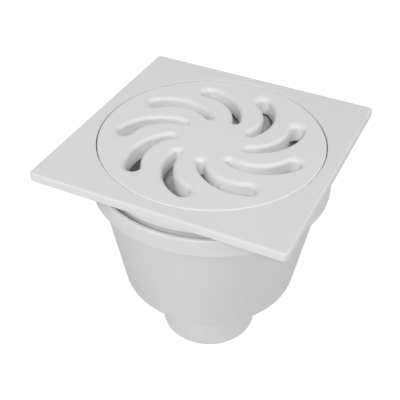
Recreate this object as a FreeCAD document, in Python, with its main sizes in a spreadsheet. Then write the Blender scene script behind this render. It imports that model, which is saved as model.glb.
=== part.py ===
import FreeCAD, Part
import math
import os

import Sketcher

# Floor gully trap in moulded PVC: a bowl with an upright waste pipe through its floor, a bell
# that hangs over the pipe and makes the water seal, a square floor plate that plugs into the
# bowl's collar, and a round lift-out grate with nine curved slots.
# Millimetres, +Z up. The origin is the centre of the outlet's lower end, which the trap stands on.

SIZES = {
    # waste pipe and outlet
    "pipe_radius": 25.0,
    "pipe_wall": 2.2,
    "outlet_length": 36.0,
    "outlet_chamfer": 0.8,
    "standpipe_draft": 0.6,
    "pipe_root_bevel": 0.8,
    # water passages, from the pipe outwards and upwards
    "inner_gap": 8.2,
    "outer_gap": 7.0,
    "bell_lift": 7.3,
    "seal_depth": 40.0,
    "crown_gap": 10.8,
    # bell
    "bell_wall": 1.8,
    "bell_flare": 1.2,
    "bell_round": 2.6,
    "bell_rib_count": 4,
    "bell_rib_width": 1.6,
    "bell_rib_reach": 2.0,
    "bell_leg": 6.0,
    "bell_clearance": 0.3,
    "knob_radius": 5.0,
    "knob_height": 4.0,
    "knob_bevel": 0.8,
    "headroom": 5.2,
    # bowl and collar
    "floor_wall": 2.2,
    "bowl_wall": 2.1,
    "bowl_flare": 9.6,
    "bowl_round": 3.2,
    "bowl_inner_bevel": 1.2,
    "shoulder_width": 3.5,
    "collar_depth": 7.1,
    "collar_bevel": 0.6,
    # floor plate
    "skirt_clearance": 0.3,
    "skirt_wall": 2.0,
    "skirt_plug": 5.0,
    "rim_gap": 2.2,
    "ledge_width": 4.2,
    "ledge_wall": 2.2,
    "pocket_wall": 1.6,
    "pocket_bevel": 0.3,
    "plate_overhang": 4.9,
    "plate_height": 4.2,
    "plate_skin": 2.6,
    "plate_rim": 2.0,
    "plate_corner": 2.2,
    "plate_round": 1.3,
    "rib_count": 4,
    "rib_turn": 45.0,
    "rib_width": 1.6,
    "rib_root": 0.5,
    "foot_width": 2.4,
    "foot_clearance": 0.3,
    # grate
    "grate_gap": 0.6,
    "grate_recess": 0.2,
    "grate_height": 9.0,
    "grate_skin": 2.8,
    "grate_rim": 1.8,
    "grate_bevel": 0.6,
    "slot_count": 9,
    "slot_turn": 36.8,
    "slot_margin": 11.7,
    "slot_inner_radius": 19.2,
    "slot_sweep": 37.5,
    "slot_bulge": 5.2,
    "slot_outer_width": 6.8,
    "slot_inner_width": 4.2,
    "slot_depth": 8.6,
    "slot_wall": 1.4,
    "slot_lip": 1.6,
}

SHEET = "sizes"
TOUCH = 1e-4

os.makedirs("parts", exist_ok=True)
doc = FreeCAD.newDocument("floor_gully_trap")
sheet = doc.addObject("Spreadsheet::Sheet", SHEET)
for row, (alias, number) in enumerate(SIZES.items(), start=1):
    sheet.set(f"A{row}", alias)
    sheet.set(f"B{row}", str(number))
    sheet.setAlias(f"B{row}", alias)
doc.recompute()


class Length:
    """A size held both as a number and as a formula over the sheet's cells."""

    def __init__(self, number, formula):
        self.number = number
        self.formula = formula

    def __add__(self, other):
        other = as_length(other)
        return Length(self.number + other.number, f"({self.formula} + {other.formula})")

    def __sub__(self, other):
        other = as_length(other)
        return Length(self.number - other.number, f"({self.formula} - {other.formula})")

    def __mul__(self, other):
        other = as_length(other)
        return Length(self.number * other.number, f"({self.formula} * {other.formula})")

    def __truediv__(self, other):
        other = as_length(other)
        return Length(self.number / other.number, f"({self.formula} / {other.formula})")


def as_length(value):
    if isinstance(value, Length):
        return value
    return Length(float(value), str(float(value)))


def size(alias):
    return Length(float(SIZES[alias]), f"{SHEET}.{alias}")


def cosine(angle):
    return Length(math.cos(math.radians(angle.number)), f"cos({angle.formula} * 1deg)")


def sine(angle):
    return Length(math.sin(math.radians(angle.number)), f"sin({angle.formula} * 1deg)")


ZERO = as_length(0.0)


# Radii, from the waste pipe outwards

pipe_radius = size("pipe_radius")
bore_radius = pipe_radius - size("pipe_wall")
weir_radius = pipe_radius - size("standpipe_draft")
bell_rim_inner = pipe_radius + size("inner_gap")
bell_rim_outer = bell_rim_inner + size("bell_wall")
bell_top_inner = bell_rim_inner - size("bell_flare")
bell_top_outer = bell_rim_outer - size("bell_flare")
bowl_floor_inner = bell_rim_outer + size("outer_gap")
mouth_radius = bowl_floor_inner + size("bowl_flare")
bowl_top_outer = mouth_radius + size("bowl_wall")
collar_inner = mouth_radius + size("shoulder_width")
collar_outer = collar_inner + size("bowl_wall")
skirt_outer = mouth_radius - size("skirt_clearance")
skirt_inner = skirt_outer - size("skirt_wall")
hole_radius = skirt_inner + size("ledge_width")
boss_radius = hole_radius + size("pocket_wall")
plate_half = boss_radius + size("plate_overhang")
grate_radius = hole_radius - size("grate_gap")

# Heights, from the outlet's end upwards

bowl_under = size("outlet_length")
bowl_floor = bowl_under + size("floor_wall")
bell_rim = bowl_floor + size("bell_lift")
weir = bell_rim + size("seal_depth")
bell_ceiling = weir + size("crown_gap")
bell_top = bell_ceiling + size("bell_wall")
knob_top = bell_top + size("knob_height")
ledge_top = knob_top + size("headroom")
ledge_under = ledge_top - size("ledge_wall")
collar_top = ledge_under - size("rim_gap")
shoulder = collar_top - size("collar_depth")
collar_under = shoulder - size("bowl_wall")
skirt_end = shoulder - size("skirt_plug")
grate_top = ledge_top + size("grate_height")
top = grate_top + size("grate_recess")
plate_under = top - size("plate_height")
plate_skin_under = top - size("plate_skin")

# The bowl's wall leans outwards by this much for each millimetre of height

bowl_lean = size("bowl_flare") / (shoulder - bowl_floor)
bowl_floor_outer = bowl_floor_inner + size("bowl_wall") - bowl_lean * size("floor_wall")
skirt_end_outer = skirt_outer - bowl_lean * size("skirt_plug")
skirt_end_inner = skirt_end_outer - size("skirt_wall")


def new_body(label):
    body = doc.addObject("PartDesign::Body", label)
    body.Label = label
    return body


def origin_part(body, role):
    for feature in body.Origin.OriginFeatures:
        if feature.Role == role:
            return feature
    raise ValueError(role)


def new_sketch(body, name, plane, height=None, turn=None):
    """An empty sketch on one of the body's own planes, lifted and turned about Z."""
    sketch = body.newObject("Sketcher::SketchObject", name)
    sketch.AttachmentSupport = [(origin_part(body, plane), "")]
    sketch.MapMode = "FlatFace"
    if height is not None:
        sketch.setExpression("AttachmentOffset.Base.z", height.formula)
    if turn is not None:
        spin = FreeCAD.Rotation(FreeCAD.Vector(0, 0, 1), turn.number)
        sketch.AttachmentOffset = FreeCAD.Placement(FreeCAD.Vector(0, 0, 0), spin)
        sketch.setExpression("AttachmentOffset.Rotation.Angle", turn.formula)
    return sketch


def pin_distance(sketch, kind, first, second, length):
    """Holds the distance from one sketch point to another at a length."""
    index = sketch.addConstraint(
        Sketcher.Constraint(kind, first[0], first[1], second[0], second[1], length.number)
    )
    sketch.setExpression(f"Constraints[{index}]", length.formula)


def pin_radius(sketch, curve, length):
    index = sketch.addConstraint(Sketcher.Constraint("Radius", curve, length.number))
    sketch.setExpression(f"Constraints[{index}]", length.formula)


def pin_point(sketch, point, across, up):
    """Places a sketch point by its two distances from the sketch's origin."""
    origin, level_axis, upright_axis = (-1, 1), -1, -2
    if across is ZERO:
        sketch.addConstraint(Sketcher.Constraint("PointOnObject", *point, upright_axis))
    else:
        pin_distance(sketch, "DistanceX", origin, point, across)
    if up is ZERO:
        sketch.addConstraint(Sketcher.Constraint("PointOnObject", *point, level_axis))
    else:
        pin_distance(sketch, "DistanceY", origin, point, up)


def draw_polygon(sketch, corners):
    """A closed outline of straight lines through (across, up) corners."""
    start, end = 1, 2
    spots = [FreeCAD.Vector(across.number, up.number, 0) for across, up in corners]
    lines = [
        sketch.addGeometry(Part.LineSegment(spot, spots[(n + 1) % len(spots)]), False)
        for n, spot in enumerate(spots)
    ]
    for n, line in enumerate(lines):
        after = lines[(n + 1) % len(lines)]
        sketch.addConstraint(Sketcher.Constraint("Coincident", line, end, after, start))
    for line, (across, up) in zip(lines, corners):
        pin_point(sketch, (line, start), across, up)


def draw_circle(sketch, radius):
    circle = sketch.addGeometry(
        Part.Circle(FreeCAD.Vector(0, 0, 0), FreeCAD.Vector(0, 0, 1), radius.number), False
    )
    sketch.addConstraint(Sketcher.Constraint("Coincident", circle, 3, -1, 1))
    pin_radius(sketch, circle, radius)


def draw_square(sketch, half):
    """A square about the sketch's origin, held by its corner and by symmetry."""
    reach = half.number
    spots = [
        FreeCAD.Vector(-reach, -reach, 0),
        FreeCAD.Vector(reach, -reach, 0),
        FreeCAD.Vector(reach, reach, 0),
        FreeCAD.Vector(-reach, reach, 0),
    ]
    lines = [
        sketch.addGeometry(Part.LineSegment(spot, spots[(n + 1) % len(spots)]), False)
        for n, spot in enumerate(spots)
    ]
    for n, line in enumerate(lines):
        after = lines[(n + 1) % len(spots)]
        sketch.addConstraint(Sketcher.Constraint("Coincident", line, 2, after, 1))
        direction = "Vertical" if n % 2 else "Horizontal"
        sketch.addConstraint(Sketcher.Constraint(direction, line))
    sketch.addConstraint(Sketcher.Constraint("Symmetric", lines[0], 1, lines[2], 1, -1, 1))
    pin_distance(sketch, "DistanceX", (-1, 1), (lines[2], 1), half)
    pin_distance(sketch, "DistanceY", (-1, 1), (lines[2], 1), half)


def draw_strip(sketch, near, far, width):
    """A rectangle along the sketch's level axis, centred on it."""
    side = width.number / 2
    spots = [
        FreeCAD.Vector(near.number, -side, 0),
        FreeCAD.Vector(far.number, -side, 0),
        FreeCAD.Vector(far.number, side, 0),
        FreeCAD.Vector(near.number, side, 0),
    ]
    lines = [
        sketch.addGeometry(Part.LineSegment(spot, spots[(n + 1) % len(spots)]), False)
        for n, spot in enumerate(spots)
    ]
    for n, line in enumerate(lines):
        after = lines[(n + 1) % len(spots)]
        sketch.addConstraint(Sketcher.Constraint("Coincident", line, 2, after, 1))
    sketch.addConstraint(Sketcher.Constraint("Horizontal", lines[0]))
    sketch.addConstraint(Sketcher.Constraint("Horizontal", lines[2]))
    sketch.addConstraint(Sketcher.Constraint("Vertical", lines[3]))
    sketch.addConstraint(Sketcher.Constraint("Symmetric", lines[1], 1, lines[1], 2, -1))
    pin_distance(sketch, "DistanceX", (-1, 1), (lines[0], 1), near)
    pin_distance(sketch, "DistanceX", (-1, 1), (lines[0], 2), far)
    pin_distance(sketch, "DistanceY", (lines[1], 1), (lines[1], 2), width)


def revolve(body, name, corners):
    """A solid of revolution about Z from (radius, height) corners."""
    sketch = new_sketch(body, f"{name}_profile", "XZ_Plane")
    draw_polygon(sketch, corners)
    solid = body.newObject("PartDesign::Revolution", name)
    solid.Profile = sketch
    solid.ReferenceAxis = (sketch, ["V_Axis"])
    solid.Angle = 360.0
    body.Tip = solid
    return solid


def pad(body, name, sketch, length):
    solid = body.newObject("PartDesign::Pad", name)
    solid.Profile = sketch
    solid.setExpression("Length", length.formula)
    body.Tip = solid
    return solid


def pocket(body, name, sketch, length):
    """A cut that starts at the sketch and goes down."""
    cut = body.newObject("PartDesign::Pocket", name)
    cut.Profile = sketch
    cut.setExpression("Length", length.formula)
    body.Tip = cut
    return cut


def repeat_round(body, name, feature, count):
    """Copies of a feature at equal angles about Z."""
    ring = body.newObject("PartDesign::PolarPattern", name)
    ring.Originals = [feature]
    ring.Axis = (origin_part(body, "Z_Axis"), [""])
    ring.Angle = 360.0
    ring.setExpression("Occurrences", count.formula)
    body.Tip = ring
    return ring


def dress(body, kind, name, base, chosen, length):
    """A fillet or chamfer on the edges of the base that the test chooses."""
    doc.recompute()
    edges = [f"Edge{n}" for n, edge in enumerate(base.Shape.Edges, start=1) if chosen(edge)]
    if not edges:
        raise RuntimeError(f"{name}: no edge found")
    feature = body.newObject(f"PartDesign::{kind}", name)
    feature.Base = (base, edges)
    feature.setExpression("Radius" if kind == "Fillet" else "Size", length.formula)
    body.Tip = feature
    return feature


def ring_edges(*rings):
    """Chooses the round edges about Z that lie at one of the (radius, height) pairs."""

    def chosen(edge):
        box = edge.BoundBox
        flat = box.ZLength < TOUCH
        return flat and any(
            abs(box.ZMax - height.number) < TOUCH
            and abs(box.XMax - radius.number) < TOUCH
            and abs(box.XMin + radius.number) < TOUCH
            for radius, height in rings
        )

    return chosen


def level_edges(height):
    """Chooses every edge that lies in the level plane at a height."""

    def chosen(edge):
        box = edge.BoundBox
        return abs(box.ZMin - height.number) < TOUCH and abs(box.ZMax - height.number) < TOUCH

    return chosen


def upright_edges(edge):
    box = edge.BoundBox
    return box.ZLength > TOUCH and box.XLength < TOUCH and box.YLength < TOUCH


# Bowl, collar, outlet and standpipe: one moulding

def make_trap_body():
    body = new_body("trap_body")
    shell = revolve(body, "bowl_shell", [
        (bore_radius, ZERO),
        (pipe_radius, ZERO),
        (pipe_radius, bowl_under),
        (bowl_floor_outer, bowl_under),
        (bowl_top_outer, collar_under),
        (collar_outer, collar_under),
        (collar_outer, collar_top),
        (collar_inner, collar_top),
        (collar_inner, shoulder),
        (mouth_radius, shoulder),
        (bowl_floor_inner, bowl_floor),
        (pipe_radius, bowl_floor),
        (weir_radius, weir),
        (bore_radius, weir),
    ])
    corner = dress(body, "Fillet", "bowl_corner", shell,
                   ring_edges((bowl_floor_outer, bowl_under)), size("bowl_round"))
    inner = dress(body, "Chamfer", "bowl_inner_corner", corner,
                  ring_edges((bowl_floor_inner, bowl_floor), (pipe_radius, bowl_floor)),
                  size("bowl_inner_bevel"))
    pipe_root = dress(body, "Chamfer", "pipe_root", inner,
                      ring_edges((pipe_radius, bowl_under)), size("pipe_root_bevel"))
    rims = dress(body, "Chamfer", "collar_edges", pipe_root,
                 ring_edges((collar_outer, collar_top), (collar_inner, collar_top),
                            (collar_outer, collar_under)),
                 size("collar_bevel"))
    dress(body, "Chamfer", "outlet_lead_in", rims,
          ring_edges((pipe_radius, ZERO)), size("outlet_chamfer"))
    return body


# Bell: an upside-down cup whose ribs stand on the weir and centre it on the standpipe

def make_bell():
    body = new_body("bell")
    cup = revolve(body, "cup", [
        (ZERO, bell_ceiling),
        (bell_top_inner, bell_ceiling),
        (bell_rim_inner, bell_rim),
        (bell_rim_outer, bell_rim),
        (bell_top_outer, bell_top),
        (size("knob_radius"), bell_top),
        (size("knob_radius"), knob_top),
        (ZERO, knob_top),
    ])
    crown = dress(body, "Fillet", "crown_round", cup,
                  ring_edges((bell_top_outer, bell_top)), size("bell_round"))
    dress(body, "Chamfer", "knob_edge", crown,
          ring_edges((size("knob_radius"), knob_top)), size("knob_bevel"))

    rib_root = size("bell_wall") / 2
    leg_inner = pipe_radius + size("bell_clearance")
    leg_end = weir - size("bell_leg")
    sketch = new_sketch(body, "rib_profile", "XZ_Plane")
    draw_polygon(sketch, [
        (bore_radius - size("bell_rib_reach"), bell_ceiling + rib_root),
        (bore_radius - size("bell_rib_reach"), weir),
        (leg_inner, weir),
        (leg_inner, leg_end),
        (bell_top_inner + rib_root, leg_end),
        (bell_top_inner + rib_root, bell_ceiling + rib_root),
    ])
    rib = pad(body, "rib", sketch, size("bell_rib_width"))
    rib.SideType = "Symmetric"
    repeat_round(body, "ribs", rib, size("bell_rib_count"))
    return body


# Floor plate: thin skin with a turned-down rim, the grate's pocket, and a skirt with four feet

def make_floor_plate():
    body = new_body("floor_plate")
    sketch = new_sketch(body, "plate_outline", "XY_Plane", plate_under)
    draw_square(sketch, plate_half)
    slab = pad(body, "slab", sketch, size("plate_height"))
    corners = dress(body, "Fillet", "plan_corners", slab, upright_edges, size("plate_corner"))
    edge = dress(body, "Fillet", "top_edge", corners, level_edges(top), size("plate_round"))

    sketch = new_sketch(body, "hollow_outline", "XY_Plane", plate_skin_under)
    draw_square(sketch, plate_half - size("plate_rim"))
    pocket(body, "underside_hollow", sketch, size("plate_height"))

    revolve(body, "pocket_and_skirt", [
        (hole_radius, top - size("plate_skin") / 2),
        (hole_radius, ledge_top),
        (skirt_inner, ledge_top),
        (skirt_inner, shoulder),
        (skirt_end_inner, skirt_end),
        (skirt_end_outer, skirt_end),
        (skirt_outer, shoulder),
        (skirt_outer, ledge_under),
        (boss_radius, ledge_under),
        (boss_radius, top - size("plate_skin") / 2),
    ])

    sketch = new_sketch(body, "rib_outline", "XY_Plane", plate_under, size("rib_turn"))
    rib_end = (plate_half - size("plate_rim") + size("rib_root")) * math.sqrt(2)
    draw_strip(sketch, boss_radius - size("pocket_wall") / 2, rib_end, size("rib_width"))
    rib = pad(body, "corner_rib", sketch, size("plate_height") - size("plate_skin") / 2)
    repeat_round(body, "corner_ribs", rib, size("rib_count"))

    sketch = new_sketch(body, "foot_outline", "XY_Plane", shoulder, size("rib_turn"))
    draw_strip(sketch, skirt_outer - size("skirt_wall") / 2,
               collar_inner - size("foot_clearance"), size("foot_width"))
    foot = pad(body, "foot", sketch, ledge_under + size("ledge_wall") / 2 - shoulder)
    repeat_round(body, "feet", foot, size("rib_count"))

    sketch = new_sketch(body, "hole_outline", "XY_Plane", top)
    draw_circle(sketch, hole_radius)
    hole = pocket(body, "grate_pocket", sketch, top - ledge_top)
    dress(body, "Chamfer", "pocket_edge", hole, ring_edges((hole_radius, top)),
          size("pocket_bevel"))
    return body


# One slot of the grate: two round ends joined by two arcs that bulge the same way

def meeting_point(first, first_reach, second, second_reach):
    """The point at both reaches from two points, on the left of the way between them."""
    way = second - first
    along = (first_reach**2 - second_reach**2 + way.Length**2) / (2 * way.Length)
    aside = math.sqrt(first_reach**2 - along**2)
    ahead = FreeCAD.Vector(way).normalize()
    left = FreeCAD.Vector(-ahead.y, ahead.x, 0)
    return first + ahead * along + left * aside


def arc_about(centre, start, end):
    """An anticlockwise arc between two points about a centre."""
    radius = (start - centre).Length
    circle = Part.Circle(centre, FreeCAD.Vector(0, 0, 1), radius)
    begin = math.atan2(start.y - centre.y, start.x - centre.x)
    finish = math.atan2(end.y - centre.y, end.x - centre.x)
    if finish < begin:
        finish += 2 * math.pi
    return Part.ArcOfCircle(circle, begin, finish)


def draw_slot(sketch, around):
    """The outline of the slot at angle zero, widened all round by a wall."""
    outer_half = size("slot_outer_width") / 2
    inner_half = size("slot_inner_width") / 2
    mean_half = (outer_half + inner_half) / 2
    outer_place = grate_radius - size("slot_margin")
    inner_across = size("slot_inner_radius") * cosine(size("slot_sweep"))
    inner_down = size("slot_inner_radius") * sine(size("slot_sweep"))

    # The centre line is an arc on the chord between the two ends, bulging by slot_bulge
    reach_across = outer_place - inner_across
    chord_squared = reach_across * reach_across + inner_down * inner_down
    bulge = size("slot_bulge")
    bend = (chord_squared / 4 + bulge * bulge) / (bulge * 2)
    convex = bend + mean_half + around
    hollow = bend - mean_half - around

    outer = FreeCAD.Vector(outer_place.number, 0, 0)
    inner = FreeCAD.Vector(inner_across.number, -inner_down.number, 0)
    outer_end = outer_half + around
    inner_end = inner_half + around
    convex_centre = meeting_point(
        inner, convex.number - inner_end.number, outer, convex.number - outer_end.number)
    hollow_centre = meeting_point(
        inner, hollow.number + inner_end.number, outer, hollow.number + outer_end.number)

    def rim(centre, towards, radius):
        return centre + (towards - centre).normalize() * radius.number

    convex_inner = rim(convex_centre, inner, convex)
    convex_outer = rim(convex_centre, outer, convex)
    hollow_inner = rim(hollow_centre, inner, hollow)
    hollow_outer = rim(hollow_centre, outer, hollow)

    convex_side = sketch.addGeometry(arc_about(convex_centre, convex_inner, convex_outer), False)
    outer_round = sketch.addGeometry(arc_about(outer, convex_outer, hollow_outer), False)
    hollow_side = sketch.addGeometry(arc_about(hollow_centre, hollow_inner, hollow_outer), False)
    inner_round = sketch.addGeometry(arc_about(inner, hollow_inner, convex_inner), False)

    start, end, centre = 1, 2, 3
    joins = [
        (convex_side, end, outer_round, start),
        (outer_round, end, hollow_side, end),
        (hollow_side, start, inner_round, start),
        (inner_round, end, convex_side, start),
    ]
    for join in joins:
        sketch.addConstraint(Sketcher.Constraint("Tangent", *join))
    pin_radius(sketch, convex_side, convex)
    pin_radius(sketch, outer_round, outer_end)
    pin_radius(sketch, hollow_side, hollow)
    pin_radius(sketch, inner_round, inner_end)
    pin_point(sketch, (outer_round, centre), outer_place, ZERO)
    pin_distance(sketch, "DistanceX", (-1, 1), (inner_round, centre), inner_across)
    pin_distance(sketch, "DistanceY", (inner_round, centre), (-1, 1), inner_down)


# Grate: a skin with a deep rim, and a wall round each slot that stiffens it

def make_grate():
    body = new_body("grate")
    sketch = new_sketch(body, "disc_outline", "XY_Plane", grate_top - size("grate_skin"))
    draw_circle(sketch, grate_radius)
    disc = pad(body, "disc", sketch, size("grate_skin"))
    dress(body, "Chamfer", "disc_edge", disc, ring_edges((grate_radius, grate_top)),
          size("grate_bevel"))

    sketch = new_sketch(body, "rim_outline", "XY_Plane", ledge_top)
    draw_circle(sketch, grate_radius)
    draw_circle(sketch, grate_radius - size("grate_rim"))
    pad(body, "rim", sketch, size("grate_height") - size("grate_skin") / 2)

    sketch = new_sketch(body, "slot_wall_outline", "XY_Plane", grate_top - size("slot_depth"),
                        size("slot_turn"))
    draw_slot(sketch, size("slot_wall"))
    wall = pad(body, "slot_wall", sketch, size("slot_depth") - size("grate_skin") / 2)
    repeat_round(body, "slot_walls", wall, size("slot_count"))

    sketch = new_sketch(body, "slot_outline", "XY_Plane", grate_top, size("slot_turn"))
    draw_slot(sketch, ZERO)
    slot = pocket(body, "slot", sketch, size("grate_height"))
    slots = repeat_round(body, "slots", slot, size("slot_count"))

    def slot_edges(edge):
        box = edge.BoundBox
        within = max(abs(box.XMin), abs(box.XMax), abs(box.YMin), abs(box.YMax))
        return level_edges(grate_top)(edge) and within < (grate_radius - size("grate_rim")).number

    dress(body, "Chamfer", "slot_lips", slots, slot_edges, size("slot_lip"))
    return body


bodies = [make_trap_body(), make_bell(), make_floor_plate(), make_grate()]
doc.recompute()

for item in doc.Objects:
    if "Invalid" in item.State or "Error" in item.State:
        raise RuntimeError(f"{item.Label} did not build: {item.State}")
for body in bodies:
    if body.Shape.isNull() or not body.Shape.isValid() or len(body.Shape.Solids) != 1:
        raise RuntimeError(f"{body.Label} is not one valid solid")

for body in bodies:
    body.Shape.exportStep(f"parts/{body.Label}.step")
    print(body.Label, round(body.Shape.Volume), "mm3", body.Shape.BoundBox)
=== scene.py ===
import math

import bmesh
import bpy
import numpy as np
from mathutils import Matrix, Vector, kdtree
from mathutils.geometry import delaunay_2d_cdt


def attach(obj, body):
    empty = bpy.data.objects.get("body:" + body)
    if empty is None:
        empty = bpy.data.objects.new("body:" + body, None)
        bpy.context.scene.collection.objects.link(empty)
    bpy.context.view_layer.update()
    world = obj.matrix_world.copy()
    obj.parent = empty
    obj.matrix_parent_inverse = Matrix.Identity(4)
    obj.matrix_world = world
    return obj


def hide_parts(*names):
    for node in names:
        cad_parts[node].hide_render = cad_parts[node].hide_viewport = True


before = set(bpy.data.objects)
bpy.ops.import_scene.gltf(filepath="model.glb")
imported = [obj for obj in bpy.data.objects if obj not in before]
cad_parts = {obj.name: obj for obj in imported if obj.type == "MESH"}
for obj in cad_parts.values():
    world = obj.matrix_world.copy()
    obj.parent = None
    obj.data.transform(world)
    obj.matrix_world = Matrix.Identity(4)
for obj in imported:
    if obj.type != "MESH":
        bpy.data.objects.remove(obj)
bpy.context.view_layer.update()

# Floor gully trap. The pieces stand for the solids, with their true roundings.
# Sizes are millimetres, heights are from the outlet's lower end, +Z up. Only the floor, the
# lamps and the camera's nearest distance are in metres.

MM = 0.001

# Outlet, standpipe, bowl and collar
BORE = 22.8
PIPE = 25.0
WEIR_RADIUS = 24.4
WEIR = 85.5
BOWL_UNDER = 36.0
BOWL_FLOOR = 38.2
BOWL_FLOOR_INNER = 42.0
BOWL_FLOOR_OUTER = 43.733
MOUTH = 51.6
BOWL_TOP_OUTER = 53.7
COLLAR_INNER = 55.1
COLLAR_OUTER = 57.2
COLLAR_UNDER = 93.7
SHOULDER = 95.8
COLLAR_TOP = 102.9
OUTLET_EDGE = 0.8
OUTLET_FILLET = 0.9
BOWL_HEEL = 3.2
BOWL_FILLET = 1.6
COLLAR_LOWER_EDGE = 0.7
COLLAR_UPPER_EDGE = 0.6
MOUTH_EDGE = 0.6
WEIR_EDGE = 0.5

# Bell
BELL_RIM = 45.5
BELL_RIM_INNER = 33.2
BELL_RIM_OUTER = 35.0
BELL_TOP_INNER = 32.0
BELL_TOP_OUTER = 33.8
BELL_CEILING = 96.3
BELL_TOP = 98.1
BELL_WALL = 1.8
BELL_RIM_EDGE = 0.5
BELL_FILLET = 1.4
BELL_CROWN = 2.6
KNOB = 5.0
KNOB_TOP = 102.1
KNOB_FILLET = 1.0
KNOB_EDGE = 1.2
BELL_RIBS = 4
BELL_RIB_INNER = 20.8
BELL_RIB_WIDTH = 1.6
BELL_LEG_INNER = 25.3
BELL_LEG_END = 79.5

# Floor plate
TOP = 116.5
PLATE_HALF = 60.0
PLATE_CORNER = 2.2
PLATE_UNDER = 112.3
PLATE_SKIN_UNDER = 113.9
PLATE_RIM = 2.0
PLATE_EDGE = 1.3
BOSS = 55.1
HOLE = 53.4
HOLE_EDGE = 0.35
LEDGE_TOP = 107.3
LEDGE_UNDER = 105.1
LEDGE_EDGE = 0.5
SKIRT_OUTER = 51.3
SKIRT_INNER = 49.3
SKIRT_END = 90.8
SKIRT_END_OUTER = 50.467
SKIRT_END_INNER = 48.467
SKIRT_END_EDGE = 0.6
SKIRT_FILLET = 0.6
CORNERS = 4
CORNER_TURN = math.pi / 4
RIB_WIDTH = 1.6
RIB_ROOT = 0.8
RIB_SINK = 1.3
RIB_IN_RIM = 0.75
FOOT_WIDTH = 2.4
FOOT_GAP = 0.3
FOOT_ROOT = 1.0
FOOT_SINK = 1.1

# Grate
GRATE = 53.05
GRATE_TOP = 116.3
GRATE_SKIN_UNDER = 113.5
GRATE_RIM_INNER = 51.1
GRATE_EDGE = 0.9
GRATE_FILLET = 0.5
SLOTS = 9
SLOT_TURN = -3.2
SLOT_OUTER = 41.2
SLOT_INNER = 19.2
SLOT_SWEEP = 37.5
SLOT_BULGE = 5.2
SLOT_OUTER_HALF = 3.4
SLOT_INNER_HALF = 1.8
SLOT_WALLS_END = 107.7
SLOT_WALL = 1.4
SLOT_LIP = 2.1
SLOT_OUTER_SLOPE = 2.1
SLOT_INNER_SLOPE = 1.5
SLOT_LEAN = 0.35
SEAM_BOW = 0.5
HALF_SECTOR = math.pi / SLOTS

# Roundings that several pieces share
CRISP = 0.4
SMALL = 0.3

# How finely the curves are cut
ROUND_STEPS = 288
EDGE_STEPS = 7
LIP_STEPS = 9
BLOCK_EDGE_STEPS = 3
SQUARE_SIDE_POINTS = 60
SQUARE_CORNER_STEPS = 8
SECTOR_STEPS = 48
SLOT_SIDE_STEPS = 40
SLOT_END_STEPS = 14
SEAM_POINTS = 15
SEAM_END_POINTS = 3

# Spots nearer than these are one: in a plan of millimetres, and where two copies meet
SAME_SPOT = 1e-7
SEAM_GAP = 0.002


# Outlines: a row of points, each with the way that its surface faces

def turned_arm(arm, angle):
    """A plan vector after a turn."""
    return np.array([
        arm[0] * math.cos(angle) - arm[1] * math.sin(angle),
        arm[0] * math.sin(angle) + arm[1] * math.cos(angle),
    ])


def turn_between(start, end):
    """The angle from one plan vector to another, left turns above zero."""
    return math.atan2(start[0] * end[1] - start[1] * end[0], start @ end)


def rounded_profile(corners, closed=True, steps=EDGE_STEPS):
    """Rounds (across, up, rounding) corners. The solid lies on the left of the way along them.

    Gives the points, the outward directions, and the corner that each point belongs to."""
    spots = np.array([corner[:2] for corner in corners], float)
    points, normals, owners = [], [], []
    count = len(corners)
    for n, (spot, radius) in enumerate(zip(spots, [corner[2] for corner in corners])):
        before, after = spots[n - 1] - spot, spots[(n + 1) % count] - spot
        before /= np.hypot(*before) or 1
        after /= np.hypot(*after) or 1
        if not closed and n in (0, count - 1):
            way = after if n == 0 else -before
            points.append(spot)
            normals.append(np.array([way[1], -way[0]]))
            owners.append(n)
            continue
        half = math.acos(float(np.clip(before @ after, -1, 1))) / 2
        middle = before + after
        centre = spot + middle / np.hypot(*middle) * radius / math.sin(half)
        start = spot + before * radius / math.tan(half) - centre
        end = spot + after * radius / math.tan(half) - centre
        turn = turn_between(start, end)
        for step in range(steps + 1):
            arm = turned_arm(start, turn * step / steps)
            points.append(centre + arm)
            normals.append(arm / radius * (1 if turn > 0 else -1))
            owners.append(n)
    return np.array(points), np.array(normals), owners


def inner_profile(corners, steps=EDGE_STEPS):
    """An open profile without its two end points, which only give the way in and out."""
    points, normals, owners = rounded_profile(corners, closed=False, steps=steps)
    return points[1:-1], normals[1:-1], owners[1:-1]


def rounded_square(half, corner):
    """Plan points and directions of a square with round corners, anticlockwise."""
    reach = half - corner
    limit = math.atan(reach / half)
    points, normals = [], []
    for quarter in range(4):
        turn = quarter * math.pi / 2
        cos, sin = round(math.cos(turn)), round(math.sin(turn))
        row = [((half, half * math.tan(a)), (1.0, 0.0))
               for a in np.linspace(-limit, limit, SQUARE_SIDE_POINTS)]
        for a in np.linspace(0, math.pi / 2, SQUARE_CORNER_STEPS + 2)[1:-1]:
            arm = (math.cos(a), math.sin(a))
            row.append(((reach + corner * arm[0], reach + corner * arm[1]), arm))
        for (x, y), (u, v) in row:
            points.append((x * cos - y * sin, x * sin + y * cos))
            normals.append((u * cos - v * sin, u * sin + v * cos))
    return np.array(points), np.array(normals)


# Meshes

def new_piece(name, mesh, material):
    """An object at the origin that shows the mesh in one material."""
    mesh.materials.append(material)
    piece = bpy.data.objects.new(name, mesh)
    bpy.context.scene.collection.objects.link(piece)
    return piece


def finish_mesh(name, points, normals, faces, material):
    """A smooth piece in metres whose shading follows the given directions."""
    mesh = bpy.data.meshes.new(name)
    mesh.from_pydata((np.asarray(points) * MM).tolist(), [], faces)
    mesh.shade_smooth()
    mesh.normals_split_custom_set_from_vertices(np.asarray(normals).tolist())
    return new_piece(name, mesh, material)


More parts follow.
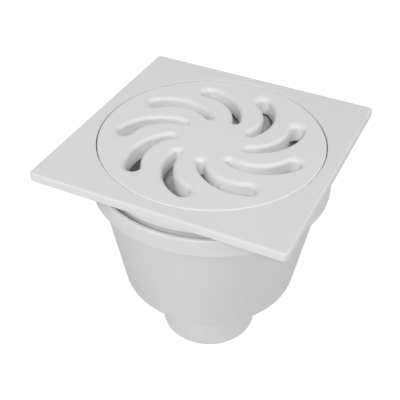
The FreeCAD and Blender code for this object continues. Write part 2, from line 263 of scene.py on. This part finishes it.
def ring_faces(index, closed_profile=True, closed_ring=True):
    """Quads between rows of indices, or triangles where a row is one point."""
    rows, columns = index.shape
    faces = []
    for i in range(rows if closed_profile else rows - 1):
        low, high = index[i], index[(i + 1) % rows]
        for j in range(columns if closed_ring else columns - 1):
            k = (j + 1) % columns
            face = [low[j], low[k], high[k], high[j]]
            face = [int(v) for n, v in enumerate(face) if v != face[n - 1]]
            if len(face) > 2:
                faces.append(face)
    return faces


def band(rows, facing, closed_profile=True, closed_ring=True):
    """Points, directions and faces of a skin drawn over rows of points."""
    rows, facing = np.asarray(rows), np.asarray(facing)
    index = np.arange(rows.shape[0] * rows.shape[1]).reshape(rows.shape[:2])
    return (rows.reshape(-1, 3), facing.reshape(-1, 3),
            ring_faces(index, closed_profile, closed_ring))


def at_height(plan, up):
    """Plan points lifted to one height, or plan directions given one lift."""
    return np.column_stack([plan, np.full(len(plan), up)])


def turned_rows(profile, normals, angles):
    """The rows of points that a profile passes through when it is turned about Z."""
    across, up = profile[:, :1], profile[:, 1:]
    cos, sin = np.cos(angles)[None, :], np.sin(angles)[None, :]
    flat = np.ones_like(cos)
    points = np.stack([across * cos, across * sin, up * flat], axis=-1)
    facing = np.stack([normals[:, :1] * cos, normals[:, :1] * sin, normals[:, 1:] * flat], -1)
    return points, facing


def turned_mesh(corners, closed=True):
    """Points, directions and faces of a solid of revolution, with one point at each pole."""
    profile, outward, _ = rounded_profile(corners, closed)
    angles = 2 * math.pi * np.arange(ROUND_STEPS) / ROUND_STEPS
    points, facing = turned_rows(profile, outward, angles)
    index = np.arange(points.shape[0] * ROUND_STEPS).reshape(points.shape[:2])
    for row in np.flatnonzero(profile[:, 0] == 0):
        index[row] = index[row, 0]
    used, packed = np.unique(index, return_inverse=True)
    return (points.reshape(-1, 3)[used], facing.reshape(-1, 3)[used],
            ring_faces(packed.reshape(index.shape), closed_profile=closed))


def plate_mesh(corners, square_corners):
    """A closed loft whose rows are rounded squares at the edge and circles inside."""
    profile, outward, owners = rounded_profile(corners)
    edge, _ = rounded_square(PLATE_HALF, PLATE_CORNER)
    angles = np.arctan2(edge[:, 1], edge[:, 0])
    arms = np.stack([np.cos(angles), np.sin(angles)], axis=-1)
    rows, facing = [], []
    for (across, up), (out, lift), owner in zip(profile, outward, owners):
        if owner in square_corners:
            corner = max(PLATE_CORNER + across - PLATE_HALF, SMALL)
            plan, sides = rounded_square(across, corner)
        else:
            plan, sides = arms * across, arms
        rows.append(at_height(plan, up))
        facing.append(at_height(sides * out, lift))
    return band(rows, facing)


def block(name, outline, width, material):
    """A straight block across its own Y axis, with softened edges."""
    build = bmesh.new()
    near = [build.verts.new((x * MM, -width / 2 * MM, z * MM)) for x, z in outline]
    far = [build.verts.new((x * MM, width / 2 * MM, z * MM)) for x, z in outline]
    build.faces.new(near)
    build.faces.new(far[::-1])
    for n, spot in enumerate(near):
        m = (n + 1) % len(near)
        build.faces.new([near[m], spot, far[n], far[m]])
    bmesh.ops.recalc_face_normals(build, faces=build.faces)
    bmesh.ops.bevel(build, geom=list(build.edges), offset=SMALL * MM,
                    segments=BLOCK_EDGE_STEPS, profile=0.5, affect="EDGES",
                    clamp_overlap=True)
    mesh = bpy.data.meshes.new(name)
    build.to_mesh(mesh)
    build.free()
    mesh.shade_smooth()
    return new_piece(name, mesh, material)


def join(base, *others):
    """Adds the others' faces to the base, and keeps its shading directions."""
    with bpy.context.temp_override(active_object=base, object=base,
                                   selected_objects=[base, *others],
                                   selected_editable_objects=[base, *others]):
        bpy.ops.object.join()


# Node trees

def add_node(tree, kind, values=None, **settings):
    """A node with its settings, and the values on its own sockets."""
    node = tree.nodes.new(kind)
    for key, setting in settings.items():
        setattr(node, key, setting)
    for socket, value in (values or {}).items():
        node.inputs[socket].default_value = value
    return node


def link_nodes(tree, wires):
    for start, end in wires:
        tree.links.new(start, end)


def grey(level):
    return level, level, level, 1.0


# Turned copies: the rule that the slots, ribs and feet follow

def turned_copies_tree():
    """Copies of the geometry at equal angles about Z."""
    tree = bpy.data.node_groups.new("turned_copies", "GeometryNodeTree")
    for name, kind in (
        ("Geometry", "NodeSocketGeometry"),
        ("Count", "NodeSocketInt"),
        ("First angle", "NodeSocketFloat"),
        ("Finish", "NodeSocketMaterial"),
    ):
        tree.interface.new_socket(name, in_out="INPUT", socket_type=kind)
    tree.interface.new_socket("Geometry", in_out="OUTPUT", socket_type="NodeSocketGeometry")
    entry, out = add_node(tree, "NodeGroupInput"), add_node(tree, "NodeGroupOutput")
    spots = add_node(tree, "GeometryNodePoints")
    step = add_node(tree, "ShaderNodeMath", {0: 2 * math.pi}, operation="DIVIDE")
    number = add_node(tree, "GeometryNodeInputIndex")
    angle = add_node(tree, "ShaderNodeMath", operation="MULTIPLY_ADD")
    turn = add_node(tree, "ShaderNodeCombineXYZ")
    copies = add_node(tree, "GeometryNodeInstanceOnPoints")
    real = add_node(tree, "GeometryNodeRealizeInstances")
    finish = add_node(tree, "GeometryNodeSetMaterial")
    link_nodes(tree, [
        (entry.outputs["Count"], spots.inputs["Count"]),
        (entry.outputs["Count"], step.inputs[1]),
        (number.outputs[0], angle.inputs[0]),
        (step.outputs[0], angle.inputs[1]),
        (entry.outputs["First angle"], angle.inputs[2]),
        (angle.outputs[0], turn.inputs["Z"]),
        (spots.outputs[0], copies.inputs["Points"]),
        (entry.outputs["Geometry"], copies.inputs["Instance"]),
        (turn.outputs[0], copies.inputs["Rotation"]),
        (copies.outputs[0], real.inputs[0]),
        (real.outputs[0], finish.inputs["Geometry"]),
        (entry.outputs["Finish"], finish.inputs["Material"]),
        (finish.outputs[0], out.inputs[0]),
    ])
    return tree


TURNED_COPIES = turned_copies_tree()


def turn_copies(piece, count, first_angle, finish):
    """Replaces the piece by its turned copies, as one plain mesh."""
    maker = piece.modifiers.new("turned_copies", "NODES")
    maker.node_group = TURNED_COPIES
    values = {"Count": count, "First angle": first_angle, "Finish": finish}
    for item in TURNED_COPIES.interface.items_tree:
        if item.in_out == "INPUT" and item.name in values:
            maker[item.identifier] = values[item.name]
    graph = bpy.context.evaluated_depsgraph_get()
    mesh = bpy.data.meshes.new_from_object(piece.evaluated_get(graph), depsgraph=graph)
    piece.modifiers.remove(maker)
    first = piece.data
    piece.data = mesh
    bpy.data.meshes.remove(first)


# Slots

def meeting_point(first, first_reach, second, second_reach):
    """The point at both reaches from two points, on the left of the way between them."""
    way = second - first
    length = np.hypot(*way)
    along = (first_reach**2 - second_reach**2 + length**2) / (2 * length)
    aside = math.sqrt(first_reach**2 - along**2)
    return first + (way * along + np.array([-way[1], way[0]]) * aside) / length


def slot_shape():
    """The centres and radii of the slot's two ends and two long sides."""
    sweep = math.radians(SLOT_SWEEP)
    outer = np.array([SLOT_OUTER, 0.0])
    inner = np.array([SLOT_INNER * math.cos(sweep), -SLOT_INNER * math.sin(sweep)])
    chord = np.hypot(*(outer - inner))
    bend = (chord**2 / 4 + SLOT_BULGE**2) / (2 * SLOT_BULGE)
    mean_half = (SLOT_OUTER_HALF + SLOT_INNER_HALF) / 2
    convex, hollow = bend + mean_half, bend - mean_half
    convex_centre = meeting_point(
        inner, convex - SLOT_INNER_HALF, outer, convex - SLOT_OUTER_HALF)
    hollow_centre = meeting_point(
        inner, hollow + SLOT_INNER_HALF, outer, hollow + SLOT_OUTER_HALF)
    return outer, inner, convex_centre, convex, hollow_centre, hollow


def slot_outline(around, sloped=False):
    """Plan points, outward directions and stretches of the slot widened by an offset.

    The way round is anticlockwise. Where it is sloped, the offset is stretched at both tips."""
    outer, inner, convex_centre, convex, hollow_centre, hollow = slot_shape()

    def heading(centre, spot):
        way = spot - centre
        return math.atan2(way[1], way[0])

    convex_inner = heading(convex_centre, inner)
    convex_outer = heading(convex_centre, outer)
    hollow_outer = heading(hollow_centre, outer)
    hollow_inner = heading(hollow_centre, inner)
    # Each run: its centre and radius, its first and last angle, its steps, 1 where the slot
    # is on the centre's side of the arc and -1 where it is beyond it, and its slope
    runs = [
        (convex_centre, convex, convex_inner, convex_outer, SLOT_SIDE_STEPS, 1, 1),
        (outer, SLOT_OUTER_HALF, convex_outer, hollow_outer + math.pi, SLOT_END_STEPS, 1,
         SLOT_OUTER_SLOPE),
        (hollow_centre, hollow, hollow_outer, hollow_inner, SLOT_SIDE_STEPS, -1, 1),
        (inner, SLOT_INNER_HALF, hollow_inner + math.pi, convex_inner + 2 * math.pi,
         SLOT_END_STEPS, 1, SLOT_INNER_SLOPE),
    ]
    points, normals, stretches = [], [], []
    for centre, radius, start, end, steps, side, slope in runs:
        if side > 0:
            while end < start:
                end += 2 * math.pi
            while end > start + 2 * math.pi:
                end -= 2 * math.pi
        for n in range(steps):
            angle = start + (end - start) * n / steps
            arm = np.array([math.cos(angle), math.sin(angle)])
            stretch = 1 + (slope - 1) * math.sin(math.pi * n / steps)**2 * sloped
            points.append(centre + arm * (radius + around * side * stretch))
            normals.append(arm * side)
            stretches.append(stretch)
    return np.array(points), np.array(normals), np.array(stretches)


def turn_plan(points, angle):
    cos, sin = math.cos(angle), math.sin(angle)
    return points @ np.array([[cos, sin], [-sin, cos]])


def sector_border(reach):
    """The seam midway between two slots, from the centre to just short of the reach.

    Past the slots it bows a little, so that no thin triangle lies along it."""
    outer, inner, convex_centre, _, hollow_centre, _ = slot_shape()
    centre = (convex_centre + hollow_centre) / 2
    start = inner - centre
    turn = turn_between(start, outer - centre)
    line = [np.zeros(2)]
    line += [centre + turned_arm(start, turn * share) for share in np.linspace(0, 1, SEAM_POINTS)]
    radii = np.linspace(SLOT_OUTER, reach, SEAM_END_POINTS + 2)[1:-1]
    bows = SEAM_BOW * np.sin(np.linspace(0, math.pi, SEAM_END_POINTS + 2)[1:-1])
    line += [np.array([radius, bow]) for radius, bow in zip(radii, bows)]
    return turn_plan(np.array(line), HALF_SECTOR)


def inside(polygon, spots):
    """Which spots lie inside a closed outline."""
    a, b = polygon, np.roll(polygon, -1, axis=0)
    x, y = spots[:, :1], spots[:, 1:]
    crosses = (a[:, 1] > y) != (b[:, 1] > y)
    rise = np.where(b[:, 1] == a[:, 1], 1, b[:, 1] - a[:, 1])
    at = a[:, 0] + (y - a[:, 1]) * (b[:, 0] - a[:, 0]) / rise
    return (np.sum(crosses & (x < at), axis=1) % 2).astype(bool)


def fill_between(outline, hole):
    """Triangles, anticlockwise, of the flat between a closed outline and a hole in it."""
    count, cut = len(outline), len(hole)
    spots = np.vstack([outline, hole])
    edges = [(n, (n + 1) % count) for n in range(count)]
    edges += [(count + n, count + (n + 1) % cut) for n in range(cut)]
    made, _, triangles, origins, *_ = delaunay_2d_cdt(
        [Vector(spot) for spot in spots.tolist()], edges, [], 0, SAME_SPOT)
    assert len(made) == len(spots)
    faces = np.array([[origins[v][0] for v in face] for face in triangles])
    middles = spots[faces].mean(axis=1)
    kept = faces[inside(outline, middles) & ~inside(hole, middles)]
    a, b, c = (spots[kept[:, n]] for n in range(3))
    area = (b - a)[:, 0] * (c - a)[:, 1] - (b - a)[:, 1] * (c - a)[:, 0]
    kept[area < 0] = kept[area < 0][:, ::-1]
    return kept


# One ninth of the grate. Its profiles lead in from the flats and out to them.

LEAD = 2.0
SECTOR_ANGLES = -HALF_SECTOR + 2 * HALF_SECTOR * np.arange(SECTOR_STEPS + 1) / SECTOR_STEPS


def rim_band():
    """The grate's rim, and the radii at which it meets the upper and the lower flat."""
    rim, outward, _ = inner_profile([
        (GRATE_RIM_INNER - LEAD, GRATE_SKIN_UNDER, 0),
        (GRATE_RIM_INNER, GRATE_SKIN_UNDER, GRATE_FILLET),
        (GRATE_RIM_INNER, LEDGE_TOP, SMALL),
        (GRATE, LEDGE_TOP, SMALL),
        (GRATE, GRATE_TOP, GRATE_EDGE),
        (GRATE_RIM_INNER - LEAD, GRATE_TOP, 0),
    ])
    rows, facing = turned_rows(rim, outward, SECTOR_ANGLES)
    return band(rows, facing, False, False), rim[-1, 0], rim[0, 0]


def slot_band():
    """The slot's lip and wall, and the offsets at which they meet both flats."""
    lip_corner = 1
    slot, outward, owners = inner_profile([
        (SLOT_LIP + LEAD, GRATE_TOP, 0),
        (0, GRATE_TOP, SLOT_LIP),
        (-SLOT_LEAN, SLOT_WALLS_END, SMALL),
        (SLOT_WALL, SLOT_WALLS_END, SMALL),
        (SLOT_WALL, GRATE_SKIN_UNDER, GRATE_FILLET),
        (SLOT_WALL + LEAD, GRATE_SKIN_UNDER, 0),
    ], steps=LIP_STEPS)
    rows, facing = [], []
    for (around, up), (out, lift), owner in zip(slot, outward, owners):
        plan, sides, stretches = slot_outline(around, sloped=owner == lip_corner)
        length = np.hypot(out / stretches, lift)[:, None]
        rows.append(at_height(plan, up))
        facing.append(at_height(sides * out / stretches[:, None], lift) / length)
    return band(rows, facing, False, True), slot[0, 0], slot[-1, 0]


def flat_between(ring, hole, up, lift):
    """The flat from the rim's radius and both seams to the slot widened by the hole's offset."""
    border = sector_border(ring)
    arc = np.column_stack([ring * np.cos(SECTOR_ANGLES), ring * np.sin(SECTOR_ANGLES)])
    outline = np.vstack([turn_plan(border, -2 * HALF_SECTOR), arc, border[:0:-1]])
    opening = slot_outline(hole, sloped=lift > 0)[0]
    triangles = fill_between(outline, opening)
    plan = np.vstack([outline, opening])
    return (at_height(plan, up), np.tile([0.0, 0.0, lift], (len(plan), 1)),
            triangles if lift > 0 else triangles[:, ::-1])


def grate_sector():
    """One ninth of the grate: its slot, and the flats and rim that go with it."""
    rim, upper_ring, lower_ring = rim_band()
    slot, upper_hole, lower_hole = slot_band()
    points, normals, faces, first = [], [], [], 0
    for some_points, some_normals, some_faces in (
        rim,
        slot,
        flat_between(upper_ring, upper_hole, GRATE_TOP, 1.0),
        flat_between(lower_ring, lower_hole, GRATE_SKIN_UNDER, -1.0),
    ):
        points.append(some_points)
        normals.append(some_normals)
        faces.extend([[int(v) + first for v in face] for face in some_faces])
        first += len(some_points)
    return np.vstack(points), np.vstack(normals), faces


def follow_directions(piece, points, normals, count, first_angle):
    """Merges the copies' seams and gives each point the direction of the sector's own."""
    mesh = piece.data
    build = bmesh.new()
    build.from_mesh(mesh)
    bmesh.ops.remove_doubles(build, verts=build.verts, dist=SEAM_GAP * MM)
    build.to_mesh(mesh)
    build.free()
    lookup = kdtree.KDTree(len(points) * count)
    facing = []
    for n in range(count):
        turn = np.array(Matrix.Rotation(first_angle + 2 * math.pi * n / count, 3, "Z")).T
        facing.append(normals @ turn)
        for m, spot in enumerate((points @ turn * MM).tolist()):
            lookup.insert(spot, n * len(points) + m)
    lookup.balance()
    facing = np.vstack(facing)
    mesh.shade_smooth()
    mesh.normals_split_custom_set_from_vertices(
        [facing[lookup.find(vertex.co)[1]].tolist() for vertex in mesh.vertices])


# Moulded PVC: grains are a scale and a depth, scales are counts to the metre

PVC_IOR = 1.53
SCATTER_DEPTH = 7.0
SPARKED_GRAIN = (2600.0, 0.02)
SMOOTH_GRAIN = (1400.0, 0.006)
GRAIN_DETAIL = 4.0
CLOUD_SCALE, CLOUD_DETAIL = 28.0, 3.0
FLOW_SCALE, FLOW_DETAIL, FLOW_DEPTH = 45.0, 1.0, 0.03
TONE_SPREAD = 0.015
GLOSS_BELOW, GLOSS_ABOVE = 0.05, 0.06


def moulded_pvc(name, tone, roughness, grain, scatter=0.0):
    """Off-white moulded plastic with its grain, slow unevenness and faint flow marks.

    With scatter, a little light passes through the thin wall."""
    material = bpy.data.materials.new(name)
    material.use_nodes = True
    tree = material.node_tree
    shader = tree.nodes["Principled BSDF"]
    for socket, value in (
        ("Roughness", roughness),
        ("IOR", PVC_IOR),
        ("Subsurface Weight", scatter),
        ("Subsurface Radius", (1.0, 1.0, 1.0)),
        ("Subsurface Scale", SCATTER_DEPTH * MM),
    ):
        shader.inputs[socket].default_value = value

    def noise(scale, detail):
        return add_node(tree, "ShaderNodeTexNoise", {"Scale": scale, "Detail": detail})

    def bump(depth):
        return add_node(tree, "ShaderNodeBump", {"Strength": 1.0, "Distance": depth * MM})

    grain_scale, grain_depth = grain
    place = add_node(tree, "ShaderNodeTexCoord").outputs["Object"]
    cloud = noise(CLOUD_SCALE, CLOUD_DETAIL)
    shade = add_node(tree, "ShaderNodeMixRGB", {
        "Color1": grey(tone * (1 - TONE_SPREAD)),
        "Color2": grey(tone * (1 + TONE_SPREAD)),
    })
    fine = noise(grain_scale, GRAIN_DETAIL)
    flow = noise(FLOW_SCALE, FLOW_DETAIL)
    gloss = add_node(tree, "ShaderNodeMapRange", {
        "To Min": roughness - GLOSS_BELOW,
        "To Max": roughness + GLOSS_ABOVE,
    })
    grained = bump(grain_depth)
    flowed = bump(FLOW_DEPTH)
    link_nodes(tree, [
        (place, cloud.inputs["Vector"]),
        (place, fine.inputs["Vector"]),
        (place, flow.inputs["Vector"]),
        (cloud.outputs["Fac"], shade.inputs["Fac"]),
        (shade.outputs["Color"], shader.inputs["Base Color"]),
        (cloud.outputs["Fac"], gloss.inputs["Value"]),
        (gloss.outputs["Result"], shader.inputs["Roughness"]),
        (flow.outputs["Fac"], flowed.inputs["Height"]),
        (fine.outputs["Fac"], grained.inputs["Height"]),
        (flowed.outputs["Normal"], grained.inputs["Normal"]),
        (grained.outputs["Normal"], shader.inputs["Normal"]),
    ])
    return material


plate_pvc = moulded_pvc("plate_pvc", 0.71, 0.55, SPARKED_GRAIN)
grate_pvc = moulded_pvc("grate_pvc", 0.73, 0.55, SMOOTH_GRAIN)
bowl_pvc = moulded_pvc("bowl_pvc", 0.68, 0.38, SMOOTH_GRAIN, scatter=0.5)
# The bell's tone is lighter than the other pieces' PVC. This is painted light that brightens the
# shaded depths seen through the grate's slots.
bell_pvc = moulded_pvc("bell_pvc", 0.85, 0.40, SMOOTH_GRAIN, scatter=0.7)


# Bowl with its collar, standpipe and outlet

points, normals, faces = turned_mesh([
    (BORE, 0, CRISP),
    (PIPE, 0, OUTLET_EDGE),
    (PIPE, BOWL_UNDER, OUTLET_FILLET),
    (BOWL_FLOOR_OUTER, BOWL_UNDER, BOWL_HEEL),
    (BOWL_TOP_OUTER, COLLAR_UNDER, CRISP),
    (COLLAR_OUTER, COLLAR_UNDER, COLLAR_LOWER_EDGE),
    (COLLAR_OUTER, COLLAR_TOP, COLLAR_UPPER_EDGE),
    (COLLAR_INNER, COLLAR_TOP, CRISP),
    (COLLAR_INNER, SHOULDER, CRISP),
    (MOUTH, SHOULDER, MOUTH_EDGE),
    (BOWL_FLOOR_INNER, BOWL_FLOOR, BOWL_FILLET),
    (PIPE, BOWL_FLOOR, BOWL_FILLET),
    (WEIR_RADIUS, WEIR, WEIR_EDGE),
    (BORE, WEIR, WEIR_EDGE),
])
bowl = finish_mesh("bowl", points, normals, faces, bowl_pvc)
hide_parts("trap_body")
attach(bowl, "root")


# Bell with its lifting knob, and the ribs that centre it on the standpipe

points, normals, faces = turned_mesh([
    (0, BELL_CEILING, 0),
    (BELL_TOP_INNER, BELL_CEILING, BELL_FILLET),
    (BELL_RIM_INNER, BELL_RIM, BELL_RIM_EDGE),
    (BELL_RIM_OUTER, BELL_RIM, BELL_RIM_EDGE),
    (BELL_TOP_OUTER, BELL_TOP, BELL_CROWN),
    (KNOB, BELL_TOP, KNOB_FILLET),
    (KNOB, KNOB_TOP, KNOB_EDGE),
    (0, KNOB_TOP, 0),
], closed=False)
cup = finish_mesh("water_seal_bell", points, normals, faces, bell_pvc)
rib_top = BELL_CEILING + BELL_WALL / 2
rib_outer = BELL_TOP_INNER + BELL_WALL / 2
bell_ribs = block("bell_ribs", [
    (BELL_RIB_INNER, rib_top),
    (BELL_RIB_INNER, WEIR),
    (BELL_LEG_INNER, WEIR),
    (BELL_LEG_INNER, BELL_LEG_END),
    (rib_outer, BELL_LEG_END),
    (rib_outer, rib_top),
], BELL_RIB_WIDTH, bell_pvc)
turn_copies(bell_ribs, BELL_RIBS, 0.0, bell_pvc)
join(cup, bell_ribs)
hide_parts("bell")
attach(cup, "root")


# Floor plate with the grate's pocket, the skirt, and the ribs and feet under it.
# The profile's corners 9 to 12 are the rim's, and follow the square.

points, normals, faces = plate_mesh([
    (HOLE, LEDGE_TOP, CRISP),
    (SKIRT_INNER, LEDGE_TOP, LEDGE_EDGE),
    (SKIRT_INNER, SHOULDER, CRISP),
    (SKIRT_END_INNER, SKIRT_END, CRISP),
    (SKIRT_END_OUTER, SKIRT_END, SKIRT_END_EDGE),
    (SKIRT_OUTER, SHOULDER, CRISP),
    (SKIRT_OUTER, LEDGE_UNDER, SKIRT_FILLET),
    (BOSS, LEDGE_UNDER, SMALL),
    (BOSS, PLATE_SKIN_UNDER, CRISP),
    (PLATE_HALF - PLATE_RIM, PLATE_SKIN_UNDER, CRISP),
    (PLATE_HALF - PLATE_RIM, PLATE_UNDER, SMALL),
    (PLATE_HALF, PLATE_UNDER, CRISP),
    (PLATE_HALF, TOP, PLATE_EDGE),
    (HOLE, TOP, HOLE_EDGE),
], square_corners=range(9, 13))
plate = finish_mesh("square_floor_plate", points, normals, faces, plate_pvc)
rib_end = (PLATE_HALF - PLATE_RIM * RIB_IN_RIM) * math.sqrt(2)
corner_ribs = block("corner_ribs", [
    (BOSS - RIB_ROOT, PLATE_UNDER),
    (rib_end, PLATE_UNDER),
    (rib_end, PLATE_SKIN_UNDER + RIB_SINK),
    (BOSS - RIB_ROOT, PLATE_SKIN_UNDER + RIB_SINK),
], RIB_WIDTH, plate_pvc)
turn_copies(corner_ribs, CORNERS, CORNER_TURN, plate_pvc)
feet = block("skirt_feet", [
    (SKIRT_OUTER - FOOT_ROOT, SHOULDER),
    (COLLAR_INNER - FOOT_GAP, SHOULDER),
    (COLLAR_INNER - FOOT_GAP, LEDGE_UNDER + FOOT_SINK),
    (SKIRT_OUTER - FOOT_ROOT, LEDGE_UNDER + FOOT_SINK),
], FOOT_WIDTH, plate_pvc)
turn_copies(feet, CORNERS, CORNER_TURN, plate_pvc)
join(plate, corner_ribs, feet)
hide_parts("floor_plate")
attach(plate, "root")


# Grate: nine slots, each with its lip and its stiffening wall

first_slot = math.radians(SLOT_TURN)
points, normals, faces = grate_sector()
grate = finish_mesh("slotted_grate", points, normals, faces, grate_pvc)
turn_copies(grate, SLOTS, first_slot, grate_pvc)
follow_directions(grate, points, normals, SLOTS, first_slot)
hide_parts("grate")
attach(grate, "root")


# Floor and backdrop: white to the eye, and still holding the object's soft shadow

FLOOR_REACH = 3.0
FLOOR_GREY = 0.75
SEEN_FLOOR_GREY = 0.28
SEEN_FLOOR_GLOW = 0.82


def white_floor():
    """The eye sees a dark matte with a glow over it, and the light meets a plain grey."""
    material = bpy.data.materials.new("white_floor")
    material.use_nodes = True
    tree = material.node_tree
    tree.nodes.clear()
    out = add_node(tree, "ShaderNodeOutputMaterial")
    matte = add_node(tree, "ShaderNodeBsdfDiffuse", {"Color": grey(SEEN_FLOOR_GREY)})
    plain = add_node(tree, "ShaderNodeBsdfDiffuse", {"Color": grey(FLOOR_GREY)})
    glow = add_node(tree, "ShaderNodeEmission", {"Strength": SEEN_FLOOR_GLOW})
    both = add_node(tree, "ShaderNodeAddShader")
    seen = add_node(tree, "ShaderNodeMixShader")
    path = add_node(tree, "ShaderNodeLightPath")
    link_nodes(tree, [
        (matte.outputs[0], both.inputs[0]),
        (glow.outputs[0], both.inputs[1]),
        (path.outputs["Is Camera Ray"], seen.inputs["Fac"]),
        (plain.outputs[0], seen.inputs[1]),
        (both.outputs[0], seen.inputs[2]),
        (seen.outputs[0], out.inputs["Surface"]),
    ])
    return material


floor_mesh = bpy.data.meshes.new("floor")
floor_mesh.from_pydata([
    (-FLOOR_REACH, -FLOOR_REACH, 0),
    (FLOOR_REACH, -FLOOR_REACH, 0),
    (FLOOR_REACH, FLOOR_REACH, 0),
    (-FLOOR_REACH, FLOOR_REACH, 0),
], [], [(0, 1, 2, 3)])
floor = new_piece("floor", floor_mesh, white_floor())

world = bpy.data.worlds.new("studio")
world.use_nodes = True
world.node_tree.nodes.clear()
world_out = add_node(world.node_tree, "ShaderNodeOutputWorld")
backdrop = add_node(world.node_tree, "ShaderNodeBackground", {"Color": grey(1.0)})
world_path = add_node(world.node_tree, "ShaderNodeLightPath")
link_nodes(world.node_tree, [
    (world_path.outputs["Is Camera Ray"], backdrop.inputs["Strength"]),
    (backdrop.outputs[0], world_out.inputs["Surface"]),
])
bpy.context.scene.world = world


# Lamps and camera: each stands at an azimuth from the front and an elevation

def way_to(azimuth, elevation):
    """The direction from the object to a place at these angles, in radians."""
    return Vector((math.sin(azimuth) * math.cos(elevation),
                   -math.cos(azimuth) * math.cos(elevation), math.sin(elevation)))


LAMP_DISTANCE = 2.5
LAMP_AIM = Vector((0, 0, 0.08))


def soft_box(name, azimuth, elevation, size, watts):
    """A square area lamp that looks at the object from a direction in degrees."""
    way = way_to(math.radians(azimuth), math.radians(elevation))
    data = bpy.data.lights.new(name, "AREA")
    data.size = size
    data.energy = watts
    lamp = bpy.data.objects.new(name, data)
    lamp.matrix_world = (Matrix.Translation(LAMP_AIM + way * LAMP_DISTANCE)
                         @ way.to_track_quat("Z", "Y").to_matrix().to_4x4())
    bpy.context.scene.collection.objects.link(lamp)


soft_box("lamp_front", 23.5, 40, 0.35, 36.0)
soft_box("lamp_front_left", -35, 40, 1.2, 25.0)
soft_box("lamp_right", 125, 40, 1.6, 32.0)
soft_box("lamp_back", 225, 15, 1.6, 11.0)

# The camera's angle and place are those of the photograph, the place from the plate's top
CAMERA_ANGLES = (23.524, 40.111, 1.733)
CAMERA_DISTANCE = 348.204
CAMERA_ASIDE = 3.586
CAMERA_ABOVE = -38.116
FRAME_PIXELS = 400
FOCAL_PIXELS = 751.663
SENSOR = 36.0
FRAME_SHIFT = 0.05
NEAREST = 0.01


def make_camera():
    azimuth, elevation, roll = (math.radians(angle) for angle in CAMERA_ANGLES)
    back = way_to(azimuth, elevation)
    level = Vector((math.cos(azimuth), math.sin(azimuth), 0))
    upright = back.cross(level)
    right = level * math.cos(roll) + upright * math.sin(roll)
    up = upright * math.cos(roll) - level * math.sin(roll)
    place = (back * CAMERA_DISTANCE + up * CAMERA_ABOVE + right * CAMERA_ASIDE
             + Vector((0, 0, TOP)))
    data = bpy.data.cameras.new("camera")
    data.sensor_width = SENSOR
    data.lens = SENSOR * FOCAL_PIXELS / FRAME_PIXELS
    data.shift_x = -FRAME_SHIFT
    data.shift_y = FRAME_SHIFT
    data.clip_start = NEAREST
    camera = bpy.data.objects.new("camera", data)
    turn = Matrix((right, up, back)).transposed().to_4x4()
    camera.matrix_world = Matrix.Translation(place * MM) @ turn
    bpy.context.scene.collection.objects.link(camera)
    bpy.context.scene.camera = camera


make_camera()
bpy.context.scene.view_settings.view_transform = "Standard"
